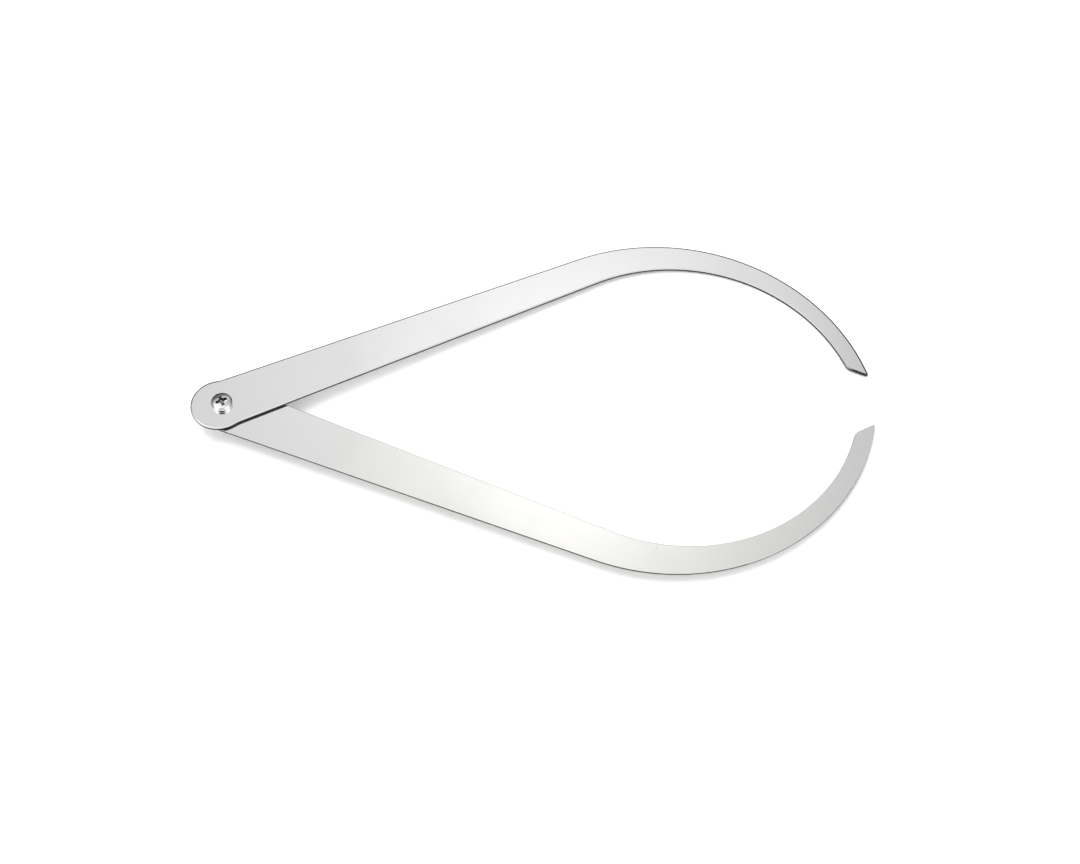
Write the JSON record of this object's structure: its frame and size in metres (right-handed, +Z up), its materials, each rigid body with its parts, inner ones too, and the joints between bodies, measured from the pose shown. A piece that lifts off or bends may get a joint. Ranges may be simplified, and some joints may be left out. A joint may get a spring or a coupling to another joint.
{
  "type": "measuring caliper",
  "caption": "Outside measuring caliper: flat bowed steel legs on a friction screw pivot, whose slanted tips touch the outside of round work.",
  "frame": {"origin": "middle of the pivot screw's end face, under the pivot, which is the lowest place of the part", "axes": "+Z up along the pivot, out of the screw's head. +X from the pivot along the middle of the opening, towards the contact points. The upper leg lies on the +Y side"},
  "size_m": [0.2557, 0.1446, 0.0103],
  "materials": {
    "leg_steel": "polished stainless sheet with a faint lengthwise grain",
    "screw_chrome": "bright chromed machine screw",
    "washer_steel": "plain thin steel",
    "nut_zinc": "bright zinc plating",
    "ring_nylon": "translucent white nylon"
  },
  "bodies": {
    "lower_side": {"lower_leg": "leg_steel", "pivot_screw": "screw_chrome", "spacer_washer": "washer_steel", "lock_nut": "nut_zinc", "nut_ring": "ring_nylon"},
    "upper_side": {"upper_leg": "leg_steel"}
  },
  "joints": [
    {"name": "pivot", "type": "hinge", "parent": "lower_side", "child": "upper_side", "pos_m": [0, 0, 0.0075], "axis": [0, 0, 1], "continuous": true}
  ]
}
